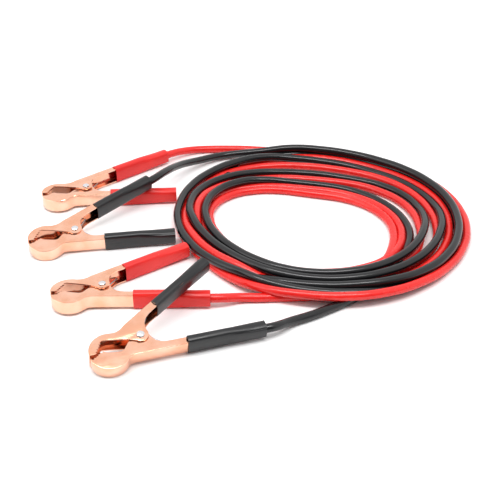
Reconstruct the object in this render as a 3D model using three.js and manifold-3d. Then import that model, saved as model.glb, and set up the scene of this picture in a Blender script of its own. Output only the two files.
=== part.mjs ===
// Car jumper cable set: a red and a black cable, loosely coiled together,
// with a copper-plated spring clamp on each of the four ends.
// Millimetres, +Z up. The set lies on a level floor. The origin is on the floor,
// under the middle of the box around the four clamps.

import * as THREE from "three";
import { mergeVertices } from "three/addons/utils/BufferGeometryUtils.js";
import Module from "manifold-3d";

const wasm = await Module();
wasm.setup();

// Clamp, drawn with the rivet's axis at the origin and the jaws to the left.
// The inner jaw's handle runs along +X, the outer jaw's handle leans up from it.

// clearance between pieces that touch
const fitGap = 0.3;
// thickness of the pressed steel
const sheet = 1.2;
// width of the outer jaw, which the inner jaw fits between
const outerJawWidth = 16;
// middle of the round head, and its half length
const headX = -29;
const headY = -9.6;
const headHalfLength = 18;
// how far the head reaches above and below its middle
const crownHeight = 17;
const chinDepth = 18.8;
// gap between the two noses, measured along the head's outline
const noseGap = 0.8;
// angle of the outer jaw's handle above the inner jaw's
const handleSpread = THREE.MathUtils.degToRad(34.4);
// distance from the rivet's axis to the back of each handle
const outerBack = 17.2;
const innerBack = 18.3;
// depth of the handles' channel
const channelDepth = 7;
// from the rivet's axis to the end of each handle
const handleReach = 68;
// radius of the ears round the rivet
const earRadius = 7;
// teeth along each gripping edge
const toothCount = 5;
const toothDepth = 1.6;

const rivetRadius = 2.2;
const rivetHeadRadius = 3.5;
const rivetHeadHeight = 1.1;

const springWire = 1.5;
const springTurns = 3.2;
const springLeg = 23;

// slip-on sleeve: where it starts on each handle, and its length and wall
const innerSleeveStart = 33;
const outerSleeveStart = 36.5;
const sleeveLength = 71;
const sleeveWall = 1;
const sleeveCorner = 1.8;
// the sleeve's far end is lower, and rounder about the cable
const sleeveEndHeight = 15;
const sleeveStraight = 0.5;
const sleeveNeck = 0.83;

const cableDiameter = 8.6;
// how deep the cable reaches into the sleeve
const cableInset = 10;
// how far the cable runs straight on out of the sleeve
const cableStraight = 8;
const cableSides = 10;

const innerJawWidth = outerJawWidth - 2 * (sheet + fitGap);
const sleeveHeight = outerJawWidth + 2 * (fitGap + sleeveWall);
const sleeveWidth = channelDepth + 2 * (fitGap + sleeveWall);

// Where the four clamps lie: the rivet's place on the floor, the turn about +Z,
// which handle holds the cable and how far each sleeve is pushed back along its handle.
// A leaning clamp lies with its outer sleeve across the neighbour's inner sleeve,
// at this distance from its own edge on the floor.
const clamps = [
  { name: "far_red", colour: "red", x: -179.5, y: 102, turn: 5.5, holds: "outer",
    outerSlide: 9, innerSlide: -6, leanReach: 0 },
  { name: "far_black", colour: "black", x: -177.5, y: 10.8, turn: 9.3, holds: "outer",
    outerSlide: -1, innerSlide: -4, leanReach: 92 },
  { name: "near_red", colour: "red", x: -138, y: -83, turn: 1.2, holds: "inner",
    outerSlide: -6, innerSlide: -3, leanReach: 0 },
  { name: "near_black", colour: "black", x: -95, y: -162, turn: 18.2, holds: "inner",
    outerSlide: -4, innerSlide: 5, leanReach: 68.5 },
];

// Coil, on the same floor as the clamps: how far its outer and its inner edge lie
// from its middle, every 30 degrees anticlockwise from +X.
const coilMiddle = { x: 73.8, y: 58.5 };
const coilOuterReach = [148.5, 157, 155, 145, 145, 153, 154, 150, 148, 149, 153, 147];
const coilInnerReach = [70, 56, 49, 47.5, 55, 79, 114, 127, 121, 110, 98, 84];
// the turns lie two cables high
const coilHeight = 2 * cableDiameter + 0.3;
// the coil is lifted where the two near leads run out under it
const liftMiddle = THREE.MathUtils.degToRad(-80);
const liftHalf = THREE.MathUtils.degToRad(38);
const liftRamp = THREE.MathUtils.degToRad(34);
const liftHeight = cableDiameter + 2 * fitGap;
// a lifted turn also lies a little further out
const liftSpread = 1.5;

const materials = {
  copper: new THREE.MeshStandardMaterial({ color: 0xf0b393, roughness: 0.25, metalness: 1 }),
  steel: new THREE.MeshStandardMaterial({ color: 0xc9ccd2, roughness: 0.3, metalness: 1 }),
  spring: new THREE.MeshStandardMaterial({ color: 0x8d8f93, roughness: 0.4, metalness: 1 }),
  red: new THREE.MeshStandardMaterial({ color: 0xe8332b, roughness: 0.4, metalness: 0 }),
  black: new THREE.MeshStandardMaterial({ color: 0x232326, roughness: 0.4, metalness: 0 }),
};

// Solids and cuts

function toManifold(geometry) {
  const bare = geometry.clone();
  bare.deleteAttribute("normal");
  bare.deleteAttribute("uv");
  const merged = mergeVertices(bare, 1e-4);
  return new wasm.Manifold(new wasm.Mesh({
    numProp: 3,
    vertProperties: new Float32Array(merged.attributes.position.array),
    triVerts: new Uint32Array(merged.index.array),
  }));
}

function toGeometry(solid) {
  const mesh = solid.getMesh();
  const geometry = new THREE.BufferGeometry();
  geometry.setAttribute("position", new THREE.BufferAttribute(new Float32Array(mesh.vertProperties), 3));
  geometry.setIndex(new THREE.BufferAttribute(new Uint32Array(mesh.triVerts), 1));
  geometry.computeVertexNormals();
  return geometry;
}

function plate(outline, bottom, top) {
  const shape = new THREE.Shape(outline);
  const geometry = new THREE.ExtrudeGeometry(shape, { depth: top - bottom, bevelEnabled: false });
  return geometry.translate(0, 0, bottom);
}

// Plane outlines of the clamp

const point = (x, y) => new THREE.Vector2(x, y);
const outerAlong = point(Math.cos(handleSpread), Math.sin(handleSpread));
const outerAway = point(-outerAlong.y, outerAlong.x);

// a point beside the outer jaw's handle: distance along it, distance to its back
function outerHandle(along, away) {
  return outerAlong.clone().multiplyScalar(along).addScaledVector(outerAway, away);
}

function headPoint(degrees, height) {
  const angle = THREE.MathUtils.degToRad(degrees);
  return point(headX + headHalfLength * Math.cos(angle), headY + height * Math.sin(angle));
}

function arcPoints(from, to, steps, at) {
  return Array.from({ length: steps + 1 }, (_, i) => at(THREE.MathUtils.lerp(from, to, i / steps)));
}

function bend(start, corner, end, steps) {
  const curve = new THREE.QuadraticBezierCurve(start, corner, end);
  return curve.getPoints(steps);
}

// the line shifted sideways, to its left for a positive distance
function shifted(line, distance) {
  return line.map((p, i) => {
    const before = line[Math.max(i - 1, 0)];
    const after = line[Math.min(i + 1, line.length - 1)];
    const along = after.clone().sub(before).normalize();
    return point(p.x - along.y * distance, p.y + along.x * distance);
  });
}

function teeth(start, end, inward) {
  const line = [];
  for (let i = 0; i < toothCount; i += 1) {
    line.push(start.clone().lerp(end, i / toothCount));
    const tip = start.clone().lerp(end, (i + 0.5) / toothCount);
    line.push(tip.addScaledVector(inward, toothDepth));
  }
  line.push(end);
  return line;
}

// the outlines' backs, from the nose to the end of the handle
const noseAngle = 191;
const noseGapAngle = THREE.MathUtils.radToDeg(noseGap / crownHeight);

function outerJawBack() {
  const crownEnd = headPoint(76, crownHeight);
  const handleStart = outerHandle(-3, outerBack);
  const corner = point(THREE.MathUtils.lerp(crownEnd.x, handleStart.x, 0.55), crownEnd.y - 0.8);
  return [
    ...arcPoints(noseAngle - noseGapAngle, 76, 10, (a) => headPoint(a, crownHeight)).slice(0, -1),
    ...bend(crownEnd, corner, handleStart, 5),
    outerHandle(handleReach, outerBack),
  ];
}

function innerJawBack() {
  const chinEnd = headPoint(322, chinDepth);
  const handleStart = point(-8.5, -innerBack);
  return [
    ...arcPoints(noseAngle + noseGapAngle, 322, 12, (a) => headPoint(a, chinDepth)).slice(0, -1),
    ...bend(chinEnd, point(-12.4, -innerBack), handleStart, 4),
    point(handleReach, -innerBack),
  ];
}

// the outlines' inner edges, from the end of the handle to the nose
function outerJawEdge() {
  const channelEdge = outerBack - channelDepth;
  const earRight = point(earRadius * Math.cos(0.5), earRadius * Math.sin(0.5));
  return [
    outerHandle(handleReach, channelEdge),
    outerHandle(25, channelEdge),
    ...bend(outerHandle(22, channelEdge), outerHandle(11, channelEdge - 1), earRight, 5),
    ...arcPoints(0.2, -2.3, 8, (a) => point(earRadius * Math.cos(a), earRadius * Math.sin(a))),
    ...bend(point(-9, -3.4), point(-19, -0.4), point(-33.5, 1.6), 5),
    ...teeth(point(-36, 0.4), point(-42.2, -11.6), point(0.88, -0.47)),
  ];
}

function innerJawEdge() {
  const channelEdge = channelDepth - innerBack;
  return [
    point(handleReach, channelEdge),
    point(26, channelEdge),
    ...bend(point(22, channelEdge), point(11, channelEdge + 0.6), point(8.4, -3.2), 5),
    ...arcPoints(0, 2.7, 9, (a) => point(earRadius * Math.cos(a), earRadius * Math.sin(a))),
    point(-10.4, -2.6),
    ...bend(point(-16.8, -11.4), point(-18.4, -12.8), point(-21, -12.6), 3),
    point(-31, -11),
    ...teeth(point(-33.5, -9.6), point(-43.4, -15.4), point(-0.2, 0.98)),
  ];
}

// a pressed jaw: a back strap with a flange on each side, open between them
function jawGeometry(back, edge, width, side) {
  const half = width / 2;
  const strap = plate([...back, ...shifted(back, side * sheet).reverse()], -half, half);
  const top = plate([...back, ...edge], half - sheet, half);
  const bottom = plate([...back, ...edge], -half, sheet - half);
  const hole = new THREE.CylinderGeometry(rivetRadius + fitGap, rivetRadius + fitGap, width + 2, 24);
  hole.rotateX(Math.PI / 2);
  const solid = toManifold(strap).add(toManifold(top)).add(toManifold(bottom));
  return toGeometry(solid.subtract(toManifold(hole)));
}

function rivetGeometry() {
  const half = outerJawWidth / 2 + fitGap;
  const headTop = half + rivetHeadHeight;
  const profile = [
    point(0, -headTop),
    point(rivetHeadRadius * 0.7, -headTop + rivetHeadHeight * 0.2),
    point(rivetHeadRadius, -half - rivetHeadHeight * 0.3),
    point(rivetHeadRadius, -half),
    point(rivetRadius, -half),
    point(rivetRadius, half),
    point(rivetHeadRadius, half),
    point(rivetHeadRadius, half + rivetHeadHeight * 0.3),
    point(rivetHeadRadius * 0.7, headTop - rivetHeadHeight * 0.2),
    point(0, headTop),
  ];
  return new THREE.LatheGeometry(profile, 16).rotateX(Math.PI / 2);
}

function tube(points, radius, sides, steps) {
  const route = new THREE.CatmullRomCurve3(points, false, "centripetal");
  const section = new THREE.Shape(arcPoints(0, 2 * Math.PI, sides, (a) => (
    point(radius * Math.cos(a), radius * Math.sin(a)))).slice(0, -1));
  return new THREE.ExtrudeGeometry(section, { extrudePath: route, steps, bevelEnabled: false });
}

// The spring's turns lie round the rivet, and a leg runs out to each handle's back.
function springGeometry() {
  const radius = rivetRadius + fitGap + springWire / 2;
  const halfHeight = innerJawWidth / 2 - sheet - fitGap - springWire / 2;
  const legRoom = sheet + fitGap + springWire / 2;
  const outerEnd = outerHandle(springLeg, outerBack - legRoom);
  const innerEnd = point(springLeg, legRoom - innerBack);
  const startAngle = 2.3;
  const turnSteps = Math.round(springTurns * 12);
  const turns = Array.from({ length: turnSteps + 1 }, (_, i) => {
    const share = i / turnSteps;
    const angle = startAngle - 2 * Math.PI * springTurns * share;
    const height = THREE.MathUtils.lerp(-halfHeight, halfHeight, share);
    return new THREE.Vector3(radius * Math.cos(angle), radius * Math.sin(angle), height);
  });
  const first = turns[0];
  const last = turns[turns.length - 1];
  const legPoint = (from, to, share, height) => new THREE.Vector3(
    THREE.MathUtils.lerp(from.x, to.x, share), THREE.MathUtils.lerp(from.y, to.y, share), height);
  const points = [
    legPoint(first, outerEnd, 1, -halfHeight),
    legPoint(first, outerEnd, 0.4, -halfHeight),
    ...turns,
    legPoint(last, innerEnd, 0.4, halfHeight),
    legPoint(last, innerEnd, 1, halfHeight),
  ];
  return tube(points, springWire / 2, 6, points.length + 2);
}

// A soft sleeve along +X from 0, open at both ends, narrower at its far end.
function sleeveGeometry() {
  const boxOutline = (width, height, corner) => {
    const line = [];
    [[1, 1], [-1, 1], [-1, -1], [1, -1]].forEach(([sx, sy], quarter) => {
      const cx = sx * (width / 2 - corner);
      const cy = sy * (height / 2 - corner);
      for (let i = 0; i <= 3; i += 1) {
        const angle = (quarter + i / 3) * Math.PI / 2;
        line.push(point(cx + corner * Math.cos(angle), cy + corner * Math.sin(angle)));
      }
    });
    return line;
  };
  const section = new THREE.Shape(boxOutline(sleeveWidth, sleeveHeight, sleeveCorner));
  section.holes.push(new THREE.Path(boxOutline(
    sleeveWidth - 2 * sleeveWall, sleeveHeight - 2 * sleeveWall, sleeveCorner - sleeveWall)));
  const geometry = new THREE.ExtrudeGeometry(section, { depth: sleeveLength, steps: 6, bevelEnabled: false });
  const place = geometry.attributes.position;
  const lower = sleeveEndHeight / sleeveHeight;
  const wider = (cableDiameter + 2 * fitGap) / (sleeveWidth - 2 * sleeveWall);
  for (let i = 0; i < place.count; i += 1) {
    const neck = THREE.MathUtils.smoothstep(place.getZ(i) / sleeveLength, sleeveStraight, sleeveNeck);
    place.setX(i, place.getX(i) * THREE.MathUtils.lerp(1, wider, neck));
    place.setY(i, place.getY(i) * THREE.MathUtils.lerp(1, lower, neck));
  }
  geometry.rotateX(Math.PI / 2).rotateZ(Math.PI / 2);
  return geometry;
}

// Clamps

function mesh(name, geometry, material) {
  const piece = new THREE.Mesh(geometry, material);
  piece.name = name;
  return piece;
}

const outerJaw = jawGeometry(outerJawBack(), outerJawEdge(), outerJawWidth, -1);
const innerJaw = jawGeometry(innerJawBack(), innerJawEdge(), innerJawWidth, 1);
const rivet = rivetGeometry();
const spring = springGeometry();
const sleeve = sleeveGeometry();

// the middle line of each sleeve, measured from the rivet's axis
const outerSleeveAway = outerBack - channelDepth / 2;
const innerSleeveAway = innerBack - channelDepth / 2;

function buildClamp({ name, colour, x, y, turn, outerSlide, innerSlide, leanReach }) {
  const pieces = new THREE.Group();
  pieces.add(mesh(`${name}_outer_jaw`, outerJaw, materials.copper));
  pieces.add(mesh(`${name}_inner_jaw`, innerJaw, materials.copper));
  pieces.add(mesh(`${name}_rivet`, rivet, materials.steel));
  pieces.add(mesh(`${name}_spring`, spring, materials.spring));

  const outerSleeve = mesh(`${name}_outer_sleeve`, sleeve, materials[colour]);
  const outerStart = outerHandle(outerSleeveStart + outerSlide, outerSleeveAway);
  outerSleeve.position.set(outerStart.x, outerStart.y, 0);
  outerSleeve.rotation.z = handleSpread;
  pieces.add(outerSleeve);

  const innerSleeve = mesh(`${name}_inner_sleeve`, sleeve, materials[colour]);
  innerSleeve.position.set(innerSleeveStart + innerSlide, -innerSleeveAway, 0);
  pieces.add(innerSleeve);

  // the clamp leans about its lower edge
  const edge = innerBack + fitGap + sleeveWall;
  const lean = leanReach ? Math.asin((sleeveHeight + fitGap) / leanReach) : 0;
  pieces.position.set(0, edge, 0);
  const leaning = new THREE.Group();
  leaning.add(pieces);
  leaning.rotation.x = lean;
  leaning.position.y = -edge;
  const clamp = new THREE.Group();
  clamp.add(leaning);
  clamp.rotation.z = THREE.MathUtils.degToRad(turn);
  clamp.position.set(x, y, 0);
  clamp.updateMatrixWorld(true);
  clamp.position.z = -new THREE.Box3().setFromObject(clamp, true).min.z;
  return clamp;
}

// Cables

// a point on the line out of a clamp's cable sleeve, measured from the sleeve's end
function sleeveExit(clamp, spec, beyond) {
  const outer = spec.holds === "outer";
  const away = outer ? outerSleeveAway : innerSleeveAway;
  const start = outer ? outerSleeveStart + spec.outerSlide : innerSleeveStart + spec.innerSlide;
  const along = start + sleeveLength + beyond;
  const place = outer ? outerHandle(along, away) : point(along, -away);
  return clamp.children[0].children[0].localToWorld(new THREE.Vector3(place.x, place.y, 0));
}

const rest = cableDiameter / 2 + 0.2;

// The stretches between the sleeves and the coil, as they lie on the floor.
const leads = {
  far_red: {
    node: "red_cable_far_lead",
    points: [[-71, 208, 6], [-48, 213.6, rest], [-28, 213.8, rest], [-8, 213.4, rest], [14, 211, rest],
      [34, 208.5, rest], [56, 205.8, rest]],
  },
  far_black: {
    node: "black_cable_far_lead",
    points: [[-94, 116, 26.5], [-80, 149, 17.5], [-69, 166, 12], [-58, 178, 8.5], [-41, 191, 6],
      [-24, 197.5, 5.5], [-10, 197.8, 7], [2, 195.6, 8.5],
      [12, 195.1, 9.5], [22, 197.5, 10.5]],
  },
  near_red: {
    node: "red_cable_near_lead",
    points: [[-8, -89, 5.4], [14, -88, rest], [40, -89, rest], [68, -88, rest], [92, -76, rest],
      [110, -58, rest], [124, -38, rest]],
  },
  near_black: {
    node: "black_cable_near_lead",
    points: [[36, -126.4, 5.6], [62, -112, rest], [84, -100, rest], [106, -84, rest], [126, -64, rest],
      [140, -42, rest]],
  },
};

function leadGeometry(clamp, spec) {
  const points = [
    sleeveExit(clamp, spec, -cableInset),
    sleeveExit(clamp, spec, 0),
    sleeveExit(clamp, spec, cableStraight),
    ...leads[spec.name].points.map((p) => new THREE.Vector3(...p)),
  ];
  return tube(points, cableDiameter / 2, cableSides, points.length * 2);
}

// the share of the lift at an angle round the coil: 1 over the leads, 0 on the floor
function liftAt(angle) {
  let away = Math.abs(angle - liftMiddle) % (2 * Math.PI);
  away = Math.min(away, 2 * Math.PI - away);
  return 1 - THREE.MathUtils.smoothstep(away, liftHalf, liftHalf + liftRamp);
}

// One closed solid of the coil's outer shape: a turned ring, drawn out to its outlines.
function coilGeometry() {
  const roundness = 0.28;
  const profile = [
    point(0, roundness), point(roundness * 0.2, 0), point(1 - roundness * 0.2, 0), point(1, roundness),
    point(1, 1 - roundness), point(1 - roundness * 0.2, 1), point(roundness * 0.2, 1), point(0, 1 - roundness),
    point(0, roundness),
  ].map((p) => point(p.x + 1, p.y));
  const geometry = new THREE.LatheGeometry(profile, 64).rotateX(Math.PI / 2);
  const edges = [coilInnerReach, coilOuterReach].map((reach) => (
    new THREE.CatmullRomCurve3(reach.map((r, i) => {
      const angle = 2 * Math.PI * i / reach.length;
      return new THREE.Vector3(coilMiddle.x + r * Math.cos(angle), coilMiddle.y + r * Math.sin(angle), 0);
    }), true)));
  const place = geometry.attributes.position;
  for (let i = 0; i < place.count; i += 1) {
    const x = place.getX(i);
    const y = place.getY(i);
    const angle = Math.atan2(y, x);
    const across = Math.hypot(x, y) - 1;
    const lift = liftHeight * liftAt(angle);
    const outward = lift * liftSpread;
    const share = (angle / (2 * Math.PI) + 1) % 1;
    const outline = edges.map((edge) => edge.getPoint(share).addScaledVector(
      new THREE.Vector3(Math.cos(angle), Math.sin(angle), 0), outward));
    const at = outline[0].lerp(outline[1], across);
    place.setXYZ(i, at.x, at.y, lift + coilHeight * place.getZ(i));
  }
  return toGeometry(toManifold(geometry));
}

// Assembly

const set = new THREE.Group();
const clampGroups = new THREE.Group();
set.add(clampGroups);

for (const spec of clamps) {
  const clamp = buildClamp(spec);
  clampGroups.add(clamp);
  clamp.updateMatrixWorld(true);
  set.add(mesh(leads[spec.name].node, leadGeometry(clamp, spec), materials[spec.colour]));
}
set.add(mesh("coiled_cables", coilGeometry(), materials.black));

// the origin lies under the middle of the clamps' box
const clampBox = new THREE.Box3().setFromObject(clampGroups, true);
const middle = clampBox.getCenter(new THREE.Vector3());
set.position.set(-middle.x, -middle.y, 0);

const jumperCable = new THREE.Group();
jumperCable.add(set);

export default jumperCable;
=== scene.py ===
import math
import bmesh
import bpy
from mathutils import Matrix, Vector


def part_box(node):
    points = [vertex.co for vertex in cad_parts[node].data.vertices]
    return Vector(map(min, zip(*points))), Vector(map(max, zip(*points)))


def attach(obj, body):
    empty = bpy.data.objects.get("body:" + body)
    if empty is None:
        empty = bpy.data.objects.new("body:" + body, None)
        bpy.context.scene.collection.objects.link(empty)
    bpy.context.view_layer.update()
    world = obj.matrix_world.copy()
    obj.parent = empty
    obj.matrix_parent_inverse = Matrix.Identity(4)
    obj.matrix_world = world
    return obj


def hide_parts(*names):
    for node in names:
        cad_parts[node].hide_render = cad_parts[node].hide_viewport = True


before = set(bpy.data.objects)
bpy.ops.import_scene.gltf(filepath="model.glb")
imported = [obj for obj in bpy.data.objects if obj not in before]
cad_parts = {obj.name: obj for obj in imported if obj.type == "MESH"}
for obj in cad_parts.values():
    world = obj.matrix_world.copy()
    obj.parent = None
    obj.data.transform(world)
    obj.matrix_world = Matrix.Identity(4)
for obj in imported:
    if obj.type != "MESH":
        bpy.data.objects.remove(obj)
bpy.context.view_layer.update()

# Car jumper cable set, dressed for the camera. Lengths in the tables are millimetres.
MM = 0.001

# The tables give places on the floor as the part's source does. The set stands in
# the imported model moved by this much.
rivet_low, rivet_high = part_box("near_red_rivet")
floor_shift = (rivet_low + rivet_high) / 2 - Vector((-138, -83, 0)) * MM
floor_shift.z = 0


def on_floor(x, y, z):
    return Vector((x, y, z)) * MM + floor_shift


# camera, at the angle of the photograph

camera_data = bpy.data.cameras.new("photo_camera")
camera_data.lens = 69.13
camera_data.sensor_width = 36
camera = bpy.data.objects.new("photo_camera", camera_data)
bpy.context.scene.collection.objects.link(camera)
camera.location = on_floor(0, -815.1, 535.2)
camera.rotation_euler = (on_floor(0, 0, 0) - camera.location).to_track_quat("-Z", "Y").to_euler()
bpy.context.scene.camera = camera


# clamps, as in the part's source

HANDLE_SPREAD = math.radians(34.4)
FIT_GAP = 0.3
SLEEVE_LENGTH = 71
SLEEVE_WIDTH = 9.6
SLEEVE_HEIGHT = 18.6
# where a sleeve starts along its handle, and how far to the side of the rivet it lies
OUTER_SLEEVE_START = 36.5
OUTER_SLEEVE_AWAY = 13.7
INNER_SLEEVE_START = 33
INNER_SLEEVE_AWAY = 14.8
# the turn on the floor, the distance that the lean is worked out from, the handle that
# holds the cable, and how far each sleeve is pushed back along its handle
clamps = {
    "far_red": {
        "turn": 5.5, "lean_reach": 0, "holds": "outer", "outer_slide": 9, "inner_slide": -6},
    "far_black": {
        "turn": 9.3, "lean_reach": 92, "holds": "outer", "outer_slide": -1, "inner_slide": -4},
    "near_red": {
        "turn": 1.2, "lean_reach": 0, "holds": "inner", "outer_slide": -6, "inner_slide": -3},
    "near_black": {
        "turn": 18.2, "lean_reach": 68.5, "holds": "inner", "outer_slide": -4, "inner_slide": 5},
}


def clamp_place(clamp):
    low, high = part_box(f"{clamp}_rivet")
    reach = clamps[clamp]["lean_reach"]
    lean = math.asin((SLEEVE_HEIGHT + FIT_GAP) / reach) if reach else 0
    return (Matrix.Translation((low + high) / 2)
            @ Matrix.Rotation(math.radians(clamps[clamp]["turn"]), 4, "Z")
            @ Matrix.Rotation(lean, 4, "X"))


def in_clamp(clamp, x, y, z):
    """A point measured from the rivet's middle, with the inner handle along +X."""
    return clamp_place(clamp) @ (Vector((x, y, z)) * MM)


def beside_outer_handle(along, away):
    return (along * math.cos(HANDLE_SPREAD) - away * math.sin(HANDLE_SPREAD),
            along * math.sin(HANDLE_SPREAD) + away * math.cos(HANDLE_SPREAD))


def along_sleeve(clamp, side, along):
    """Where a sleeve's middle line is at that distance from the end nearer the rivet."""
    if side == "outer":
        start = OUTER_SLEEVE_START + clamps[clamp]["outer_slide"]
        return beside_outer_handle(start + along, OUTER_SLEEVE_AWAY)
    return INNER_SLEEVE_START + clamps[clamp]["inner_slide"] + along, -INNER_SLEEVE_AWAY


def sleeve_exit(clamp, beyond):
    """A point on the line out of the sleeve that holds the cable, past the sleeve's end."""
    x, y = along_sleeve(clamp, clamps[clamp]["holds"], SLEEVE_LENGTH + beyond)
    return in_clamp(clamp, x, y, 0)


# cables

CABLE_DIAMETER = 8.6
# how deep the cable reaches into a sleeve, and how far it runs straight on out of it
CABLE_INSET = 10
CABLE_STRAIGHT = 8
COIL_MIDDLE = (73.8, 58.5)

# The turns run clockwise from above. Each pair is the distance from the coil's
# middle and the height of the cable's own middle, a step of so many degrees apart.
COIL_STEP = 15
BLACK_TURNS_FROM = 115
RED_TURNS_FROM = 95

black_turns = [
    (152.8, 9.5), (143.8, 12.8), (136.6, 13.5), (133.0, 13.5), (132.3, 13.6), (133.7, 14.2),
    (137.3, 13.9), (140.8, 13.4), (143.5, 13.1), (145.9, 13.1), (147.8, 13.1), (147.5, 13.2),
    (144.1, 13.4), (140.2, 13.2), (138.4, 12.5), (136.9, 10.8), (134.4, 4.6), (135.2, 4.3),
    (137.4, 4.3), (138.0, 4.3), (133.9, 4.3), (131.6, 4.3), (129.6, 4.3), (141.4, 4.3),
    (145.9, 4.3), (143.7, 4.4), (140.3, 5.6), (136.8, 5.7), (135.7, 5.7), (137.9, 6.8),
    (141.0, 6.2), (143.5, 5.2), (144.3, 4.5), (144.9, 4.4), (145.3, 4.5), (146.8, 4.5),
    (148.9, 6.2), (148.3, 10.0), (147.0, 11.5), (145.4, 12.6), (144.3, 14.0), (147.0, 13.5),
    (148.9, 13.1), (150.5, 13.4), (149.2, 13.1), (147.4, 13.1), (143.8, 13.2), (139.3, 13.0),
    (133.1, 12.0), (127.0, 7.8), (123.0, 4.9), (119.6, 4.4), (118.4, 4.4), (121.1, 4.5),
    (124.3, 4.6), (126.8, 6.3), (127.8, 10.2), (128.1, 12.6), (129.2, 13.1), (129.8, 13.1),
    (129.6, 13.1), (129.0, 13.1), (128.3, 13.1), (127.2, 13.3), (125.9, 13.2), (126.0, 13.1),
    (129.0, 13.4), (134.5, 15.5), (137.9, 14.3), (134.2, 13.2), (123.1, 12.5), (109.8, 10.9),
    (99.9, 8.2), (94.6, 5.7), (91.5, 4.6), (90.0, 4.4), (93.1, 4.4), (99.6, 4.4),
    (105.2, 4.5), (108.2, 5.6), (109.9, 9.5), (111.5, 12.6), (113.6, 13.1), (115.8, 13.1),
    (117.4, 13.1), (118.2, 13.1), (118.7, 13.1), (118.3, 13.1), (117.2, 13.1), (117.2, 13.1),
    (118.6, 13.1), (120.4, 13.2), (120.9, 13.2), (116.6, 13.1), (104.5, 12.8), (89.2, 10.5),
    (76.5, 7.5), (69.6, 5.6), (66.5, 4.6), (65.7, 4.4), (66.9, 4.4), (69.7, 4.4),
    (74.3, 4.4), (80.9, 4.4), (88.8, 4.4), (97.2, 4.4), (104.7, 4.4), (115.4, 4.4),
    (131.3, 4.5),
]
red_turns = [
    (151.1, 4.6), (147.5, 4.4), (144.6, 4.3), (144.5, 4.3), (147.1, 4.3), (150.3, 4.3),
    (152.5, 4.4), (153.9, 4.4), (154.1, 4.6), (154.2, 6.0), (155.5, 8.8), (157.2, 11.6),
    (156.8, 12.9), (155.2, 12.7), (152.8, 10.1), (147.6, 5.8), (144.8, 4.7), (146.8, 4.4),
    (149.6, 4.4), (150.2, 4.4), (147.9, 4.5), (148.1, 6.6), (141.4, 5.8), (136.2, 4.4),
    (133.9, 4.3), (130.5, 4.3), (127.5, 4.3), (127.7, 4.3), (130.8, 4.3), (133.8, 4.3),
    (135.4, 4.4), (135.8, 4.4), (136.4, 4.4), (136.7, 4.4), (136.6, 4.4), (136.1, 4.4),
    (135.5, 4.4), (133.6, 4.4), (130.7, 4.7), (135.8, 13.0), (138.2, 12.7), (140.7, 12.6),
    (142.5, 9.4), (141.7, 6.2), (139.3, 5.9), (137.6, 5.1), (129.9, 4.5), (120.1, 4.4),
    (112.0, 4.4), (107.6, 4.4), (107.0, 4.4), (110.0, 4.4), (113.6, 4.4), (116.6, 4.4),
    (119.2, 4.3), (122.7, 4.3), (126.1, 4.4), (126.2, 4.4), (124.8, 4.4), (123.6, 4.4),
    (123.1, 4.5), (123.3, 4.9), (122.8, 5.7), (125.4, 4.4), (127.3, 4.5), (129.8, 5.2),
    (129.8, 10.6), (128.9, 11.9), (122.8, 9.0), (112.3, 5.8), (99.4, 4.5), (88.2, 4.4),
    (80.3, 4.4), (77.4, 4.4), (78.8, 4.4), (83.1, 4.4), (88.5, 4.4), (94.7, 4.4),
    (100.0, 4.4), (104.8, 4.3), (110.8, 4.3), (115.6, 4.4), (114.0, 4.4), (113.8, 4.4),
    (114.0, 4.4), (114.6, 4.4), (114.7, 4.3), (116.7, 4.3), (118.6, 4.3), (121.4, 4.3),
    (124.5, 4.3), (124.1, 4.5), (114.1, 4.4), (96.0, 4.3), (77.3, 4.4), (63.9, 4.4),
    (57.1, 4.4), (54.7, 4.4), (54.9, 4.4), (56.9, 4.4), (61.1, 4.4), (67.2, 4.4),
    (74.7, 4.4), (83.0, 4.4), (91.0, 4.4), (98.2, 4.4), (102.8, 4.4), (104.6, 4.4),
    (105.3, 4.4), (105.9, 4.4), (106.2, 4.4), (108.0, 4.4), (109.9, 4.4), (112.8, 4.4),
    (115.9, 4.5), (115.4, 4.4), (105.4, 4.4), (87.3, 4.4), (68.5, 4.4), (54.9, 4.4),
    (47.9, 4.4), (45.4, 4.4), (45.8, 4.4), (48.2, 4.4), (52.4, 4.4), (58.5, 4.4),
    (66.0, 4.4), (74.3, 4.4), (82.3, 4.4), (91.7, 4.4), (104.1, 4.5), (119.4, 4.5),
    (137.0, 4.5),
]

black_far_lead = [
    (-94, 116, 26.5), (-80, 149, 17.5), (-69, 166, 12), (-58, 178, 8.5), (-41, 191, 6),
    (-24, 197.5, 5.5), (-8, 198.2, 7),
]
black_near_lead = [(62, -112, 4.5), (36, -126.4, 5.6)]
red_far_lead = [
    (-71, 208, 6), (-48, 213.6, 4.5), (-28, 213.8, 4.5), (-8, 213.4, 4.5), (14, 211, 4.5),
    (34, 208.7, 4.5),
]
red_near_lead = [(12, -88, 4.5), (-8, -89, 5.4)]


def coil_points(turns, first_angle):
    points = []
    for step, (reach, height) in enumerate(turns):
        angle = math.radians(first_angle - COIL_STEP * step)
        points.append(on_floor(COIL_MIDDLE[0] + reach * math.cos(angle),
                               COIL_MIDDLE[1] + reach * math.sin(angle), height))
    return points


def round_strand(name, points, diameter, steps, roundness, finish):
    """A cable or wire of that diameter in millimetres, on one smooth line through the points."""
    data = bpy.data.curves.new(name, "CURVE")
    data.dimensions = "3D"
    data.resolution_u = data.render_resolution_u = steps
    data.bevel_depth = diameter / 2 * MM
    data.bevel_resolution = roundness
    data.use_fill_caps = True
    line = data.splines.new("BEZIER")
    line.bezier_points.add(len(points) - 1)
    for knot, place in zip(line.bezier_points, points):
        knot.co = place
        knot.handle_left_type = knot.handle_right_type = "AUTO"
    data.materials.append(finish)
    strand = bpy.data.objects.new(name, data)
    bpy.context.scene.collection.objects.link(strand)
    return strand


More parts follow.
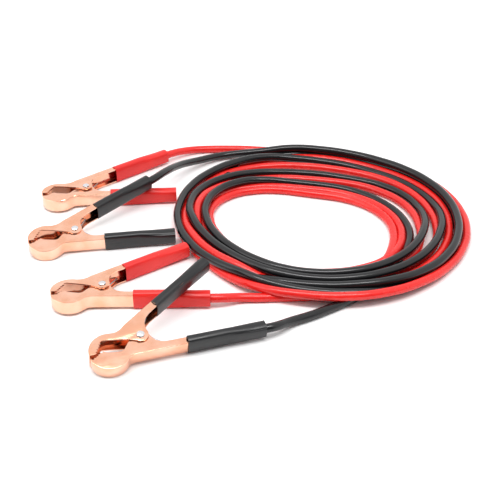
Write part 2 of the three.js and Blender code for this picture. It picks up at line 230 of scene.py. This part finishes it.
def sleeve_to_floor(clamp):
    return [sleeve_exit(clamp, beyond) for beyond in (-CABLE_INSET, 0, CABLE_STRAIGHT)]


cable_routes = {
    "black": (
        sleeve_to_floor("far_black")
        + [on_floor(*p) for p in black_far_lead]
        + coil_points(black_turns, BLACK_TURNS_FROM)
        + [on_floor(*p) for p in black_near_lead]
        + sleeve_to_floor("near_black")[::-1]),
    "red": (
        sleeve_to_floor("far_red")
        + [on_floor(*p) for p in red_far_lead]
        + coil_points(red_turns, RED_TURNS_FROM)
        + [on_floor(*p) for p in red_near_lead]
        + sleeve_to_floor("near_red")[::-1]),
}


# finishes

def new_finish(name):
    finish = bpy.data.materials.new(name)
    finish.use_nodes = True
    nodes = finish.node_tree.nodes
    shader = next(n for n in nodes if n.type == "BSDF_PRINCIPLED")
    place = nodes.new("ShaderNodeTexCoord")
    return finish, nodes, finish.node_tree.links, shader, place.outputs["Object"]


def clouds(nodes, links, place, scale, detail=3.0, stretch=None):
    """Soft random shading from 0 to 1, on the piece's own coordinates in metres."""
    if stretch:
        squeeze = nodes.new("ShaderNodeMapping")
        squeeze.inputs["Scale"].default_value = stretch
        links.new(place, squeeze.inputs["Vector"])
        place = squeeze.outputs["Vector"]
    noise = nodes.new("ShaderNodeTexNoise")
    noise.inputs["Scale"].default_value = scale
    noise.inputs["Detail"].default_value = detail
    links.new(place, noise.inputs["Vector"])
    return noise.outputs["Fac"]


def between(nodes, links, source, low, high):
    spread = nodes.new("ShaderNodeMapRange")
    spread.inputs["From Min"].default_value = 0.3
    spread.inputs["From Max"].default_value = 0.7
    spread.inputs["To Min"].default_value = low
    spread.inputs["To Max"].default_value = high
    links.new(source, spread.inputs["Value"])
    return spread.outputs["Result"]


def two_tones(nodes, links, source, dark, light):
    tones = nodes.new("ShaderNodeValToRGB")
    tones.color_ramp.elements[0].position = 0.35
    tones.color_ramp.elements[0].color = (*dark, 1)
    tones.color_ramp.elements[1].position = 0.65
    tones.color_ramp.elements[1].color = (*light, 1)
    links.new(source, tones.inputs["Fac"])
    return tones.outputs["Color"]


def relief(nodes, links, source, depth_mm, shader, strength=1.0):
    bump = nodes.new("ShaderNodeBump")
    bump.inputs["Strength"].default_value = strength
    bump.inputs["Distance"].default_value = depth_mm * MM
    links.new(source, bump.inputs["Height"])
    links.new(bump.outputs["Normal"], shader.inputs["Normal"])


def copper_finish(name):
    """Bright copper plating on pressed sheet, with faint roll marks."""
    finish, nodes, links, shader, place = new_finish(name)
    patches = clouds(nodes, links, place, 55)
    marks = clouds(nodes, links, place, 900, 4.0, (0.12, 1, 1))
    links.new(two_tones(nodes, links, patches, (0.90, 0.46, 0.30), (0.97, 0.58, 0.43)),
              shader.inputs["Base Color"])
    links.new(between(nodes, links, marks, 0.10, 0.22), shader.inputs["Roughness"])
    shader.inputs["Metallic"].default_value = 1
    relief(nodes, links, clouds(nodes, links, place, 60), 0.12, shader, 0.25)
    return finish


def steel_finish(name, tone, smooth, rough):
    """Bright plated steel, or drawn spring wire."""
    finish, nodes, links, shader, place = new_finish(name)
    marks = clouds(nodes, links, place, 1400)
    links.new(two_tones(nodes, links, marks, tuple(0.85 * t for t in tone), tone),
              shader.inputs["Base Color"])
    links.new(between(nodes, links, marks, smooth, rough), shader.inputs["Roughness"])
    shader.inputs["Metallic"].default_value = 1
    relief(nodes, links, marks, 0.03, shader, 0.5)
    return finish


def vinyl_finish(name, dark, light, smooth, rough, grain_mm):
    """Soft PVC with a satin shine, a little uneven as it comes from the extruder or the dip."""
    finish, nodes, links, shader, place = new_finish(name)
    patches = clouds(nodes, links, place, 30)
    grain = clouds(nodes, links, place, 90)
    links.new(two_tones(nodes, links, patches, dark, light), shader.inputs["Base Color"])
    links.new(between(nodes, links, grain, smooth, rough), shader.inputs["Roughness"])
    shader.inputs["IOR"].default_value = 1.52
    relief(nodes, links, grain, grain_mm, shader, 0.6)
    return finish


finishes = {
    "copper": copper_finish("copper_plating"),
    "rivet": steel_finish("bright_rivet_steel", (0.82, 0.82, 0.84), 0.16, 0.30),
    "spring": steel_finish("spring_wire", (0.50, 0.51, 0.52), 0.28, 0.42),
    "red_cable": vinyl_finish(
        "red_cable_vinyl", (0.70, 0.010, 0.008), (0.78, 0.016, 0.012), 0.20, 0.30, 0.005),
    "black_cable": vinyl_finish(
        "black_cable_vinyl", (0.004, 0.004, 0.005), (0.007, 0.007, 0.008), 0.16, 0.24, 0.005),
    "red_sleeve": vinyl_finish(
        "red_sleeve_vinyl", (0.68, 0.010, 0.008), (0.78, 0.016, 0.012), 0.30, 0.42, 0.04),
    "black_sleeve": vinyl_finish(
        "black_sleeve_vinyl", (0.004, 0.004, 0.005), (0.008, 0.008, 0.009), 0.28, 0.42, 0.04),
}


# the cables stand for their leads and for the solid of the coil

for colour, points in cable_routes.items():
    cable = round_strand(
        f"{colour}_cable", points, CABLE_DIAMETER, 6, 5, finishes[f"{colour}_cable"])
    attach(cable, "set")
    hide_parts(f"{colour}_cable_far_lead", f"{colour}_cable_near_lead", "coiled_cables")


# pressed and moulded pieces

def add_piece(shape, name, node, finish, smooth_below, body):
    """Makes the shape a piece that stands for the node, shaded smooth over slight bends."""
    for face in shape.faces:
        face.smooth = True
    for edge in shape.edges:
        if len(edge.link_faces) == 2:
            edge.smooth = edge.calc_face_angle() < math.radians(smooth_below)
    data = bpy.data.meshes.new(name)
    shape.to_mesh(data)
    shape.free()
    data.materials.append(finish)
    piece = bpy.data.objects.new(name, data)
    bpy.context.scene.collection.objects.link(piece)
    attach(piece, body)
    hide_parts(node)


def packed_shape(node):
    """The node's own mesh, with its loose triangles joined."""
    shape = bmesh.new()
    shape.from_mesh(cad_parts[node].data)
    bmesh.ops.remove_doubles(shape, verts=shape.verts, dist=2e-6)
    return shape


def edges_over(shape, degrees):
    return [e for e in shape.edges
            if len(e.link_faces) == 2 and e.calc_face_angle() > math.radians(degrees)]


def round_off(shape, edges, radius, segments):
    bmesh.ops.bevel(shape, geom=edges, offset=radius * MM, offset_type="OFFSET", segments=segments,
                    profile=0.5, affect="EDGES", clamp_overlap=True, material=-1)


# radii in millimetres
JAW_EDGE = 0.15
JAW_FOLD = 0.55
RIVET_EDGE = 0.2
# a wall taller than this is a jaw's strap, and a lower one is the sheet's cut edge
STRAP_AT_LEAST = 5


def is_fold(edge, up):
    """Whether one of the edge's faces is on a jaw's strap, which stands between its flanges."""
    for face in edge.link_faces:
        heights = [v.co.dot(up) for v in face.verts]
        if abs(face.normal.dot(up)) < 0.5 and max(heights) - min(heights) > STRAP_AT_LEAST * MM:
            return True
    return False


def finished_piece(node, finish, edge_radius, smooth_below, body, fold_radius=0, up=None):
    """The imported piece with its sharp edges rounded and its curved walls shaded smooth.
    The folds, where the strap meets a flange, are rounder than the cut edges."""
    shape = packed_shape(node)
    bmesh.ops.dissolve_limit(
        shape, angle_limit=math.radians(0.5), verts=shape.verts, edges=shape.edges)
    corners = edges_over(shape, smooth_below)
    if fold_radius:
        round_off(shape, [e for e in corners if is_fold(e, up)], fold_radius, 3)
        corners = edges_over(shape, 50)
    round_off(shape, corners, edge_radius, 2)
    add_piece(shape, f"{node}_finished", node, finish, smooth_below, body)


def sleeve_place(clamp, side):
    """The sleeve's own frame: X runs along it from the end nearer the rivet, Y across it."""
    x, y = along_sleeve(clamp, side, 0)
    turn = HANDLE_SPREAD if side == "outer" else 0
    return (clamp_place(clamp) @ Matrix.Translation(Vector((x, y, 0)) * MM)
            @ Matrix.Rotation(turn, 4, "Z"))


# how much a sleeve's corners are drawn in, and how much more where the cable comes out
CORNERS_DRAWN_IN = 0.15
DRAWN_IN_MORE = 0.07


def soft_sleeve(clamp, side, finish, body):
    """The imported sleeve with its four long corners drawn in, as soft vinyl lies on the handle."""
    node = f"{clamp}_{side}_sleeve"
    place = sleeve_place(clamp, side)
    shape = packed_shape(node)
    bmesh.ops.subdivide_edges(shape, edges=shape.edges, cuts=3, use_grid_fill=True)
    back = place.inverted()
    for vert in shape.verts:
        at = back @ vert.co
        share = min(max(at.x / (SLEEVE_LENGTH * MM), 0), 1)
        across = min(abs(at.y) / (SLEEVE_WIDTH / 2 * MM), 1)
        upright = min(abs(at.z) / (SLEEVE_HEIGHT / 2 * MM), 1)
        drawn_in = 1 - (CORNERS_DRAWN_IN + DRAWN_IN_MORE * share) * (across * upright) ** 2
        at.y *= drawn_in
        at.z *= drawn_in
        vert.co = place @ at
    add_piece(shape, f"{node}_soft", node, finish, 40, body)


# the torsion spring, as in the part's source
SPRING_WIRE = 1.5
SPRING_RADIUS = 3.25
SPRING_HALF_HEIGHT = 4.25
SPRING_TURNS = 3.2
SPRING_STEPS = 38
SPRING_START_ANGLE = 2.3
OUTER_LEG_END = beside_outer_handle(23, 14.95)
INNER_LEG_END = (23, -16.05)


def spring_wire(name, points, clamp, body):
    places = [in_clamp(clamp, *p) for p in points]
    piece = round_strand(name, places, SPRING_WIRE, 4, 3, finishes["spring"])
    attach(piece, body)
    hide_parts(f"{clamp}_spring")


def spring_leg(start, end, height):
    return [(start[0] + (end[0] - start[0]) * share,
             start[1] + (end[1] - start[1]) * share, height) for share in (0.4, 1)]


def torsion_spring(clamp):
    """The turns and one leg stay with the handle that holds the cable, the other leg moves."""
    ring = []
    for i in range(SPRING_STEPS + 1):
        angle = SPRING_START_ANGLE - 2 * math.pi * SPRING_TURNS * i / SPRING_STEPS
        ring.append((SPRING_RADIUS * math.cos(angle), SPRING_RADIUS * math.sin(angle),
                     SPRING_HALF_HEIGHT * (2 * i / SPRING_STEPS - 1)))
    outer_leg = spring_leg(ring[0], OUTER_LEG_END, -SPRING_HALF_HEIGHT)
    inner_leg = spring_leg(ring[-1], INNER_LEG_END, SPRING_HALF_HEIGHT)
    if clamps[clamp]["holds"] == "outer":
        still = outer_leg[::-1] + ring
        moving = ring[-3:] + inner_leg
    else:
        still = ring + inner_leg
        moving = ring[2::-1] + outer_leg
    spring_wire(f"{clamp}_spring_turns", still, clamp, "set")
    spring_wire(f"{clamp}_spring_leg", moving, clamp, f"{clamp}_lever")


for clamp, spec in clamps.items():
    colour = clamp.split("_")[1]
    for side in ("outer", "inner"):
        body = "set" if spec["holds"] == side else f"{clamp}_lever"
        finished_piece(
            f"{clamp}_{side}_jaw", finishes["copper"], JAW_EDGE, 25, body,
            fold_radius=JAW_FOLD, up=clamp_place(clamp).to_3x3() @ Vector((0, 0, 1)))
        soft_sleeve(clamp, side, finishes[f"{colour}_sleeve"], body)
    finished_piece(f"{clamp}_rivet", finishes["rivet"], RIVET_EDGE, 40, "set")
    torsion_spring(clamp)


# floor and light

def pale_floor():
    finish, nodes, links, shader, place = new_finish("pale_floor")
    patches = clouds(nodes, links, place, 6)
    links.new(two_tones(nodes, links, patches, (0.93, 0.93, 0.93), (0.94, 0.94, 0.94)),
              shader.inputs["Base Color"])
    shader.inputs["Roughness"].default_value = 0.6
    shape = bmesh.new()
    bmesh.ops.create_grid(shape, x_segments=1, y_segments=1, size=6)
    data = bpy.data.meshes.new("floor")
    shape.to_mesh(data)
    shape.free()
    data.materials.append(finish)
    floor = bpy.data.objects.new("floor", data)
    bpy.context.scene.collection.objects.link(floor)


def soft_light(name, place, aim, width, depth, power):
    data = bpy.data.lights.new(name, "AREA")
    data.shape = "RECTANGLE"
    data.size = width
    data.size_y = depth
    data.energy = power
    light = bpy.data.objects.new(name, data)
    bpy.context.scene.collection.objects.link(light)
    light.location = place
    light.rotation_euler = (Vector(aim) - light.location).to_track_quat("-Z", "Y").to_euler()


pale_floor()
world = bpy.data.worlds.new("studio")
world.use_nodes = True
sky = world.node_tree.nodes["Background"]
sky.inputs["Color"].default_value = (1, 1, 1, 1)
# the room in front of the table is darker, which draws dark lines along the folds
direction = world.node_tree.nodes.new("ShaderNodeTexCoord")
parts = world.node_tree.nodes.new("ShaderNodeSeparateXYZ")
front = world.node_tree.nodes.new("ShaderNodeMapRange")
front.inputs["From Min"].default_value = -0.85
front.inputs["From Max"].default_value = -0.35
front.inputs["To Min"].default_value = 0.10
front.inputs["To Max"].default_value = 1.05
world.node_tree.links.new(direction.outputs["Generated"], parts.inputs["Vector"])
world.node_tree.links.new(parts.outputs["Y"], front.inputs["Value"])
world.node_tree.links.new(front.outputs["Result"], sky.inputs["Strength"])
bpy.context.scene.world = world
bpy.context.scene.view_settings.view_transform = "Standard"
soft_light("strip_box", (0.05, -0.35, 1.2), (0.08, 0.03, 0), 1.3, 0.22, 12)
soft_light("left_box", (-1.1, -0.4, 0.9), (0.05, 0, 0), 0.9, 0.9, 3)
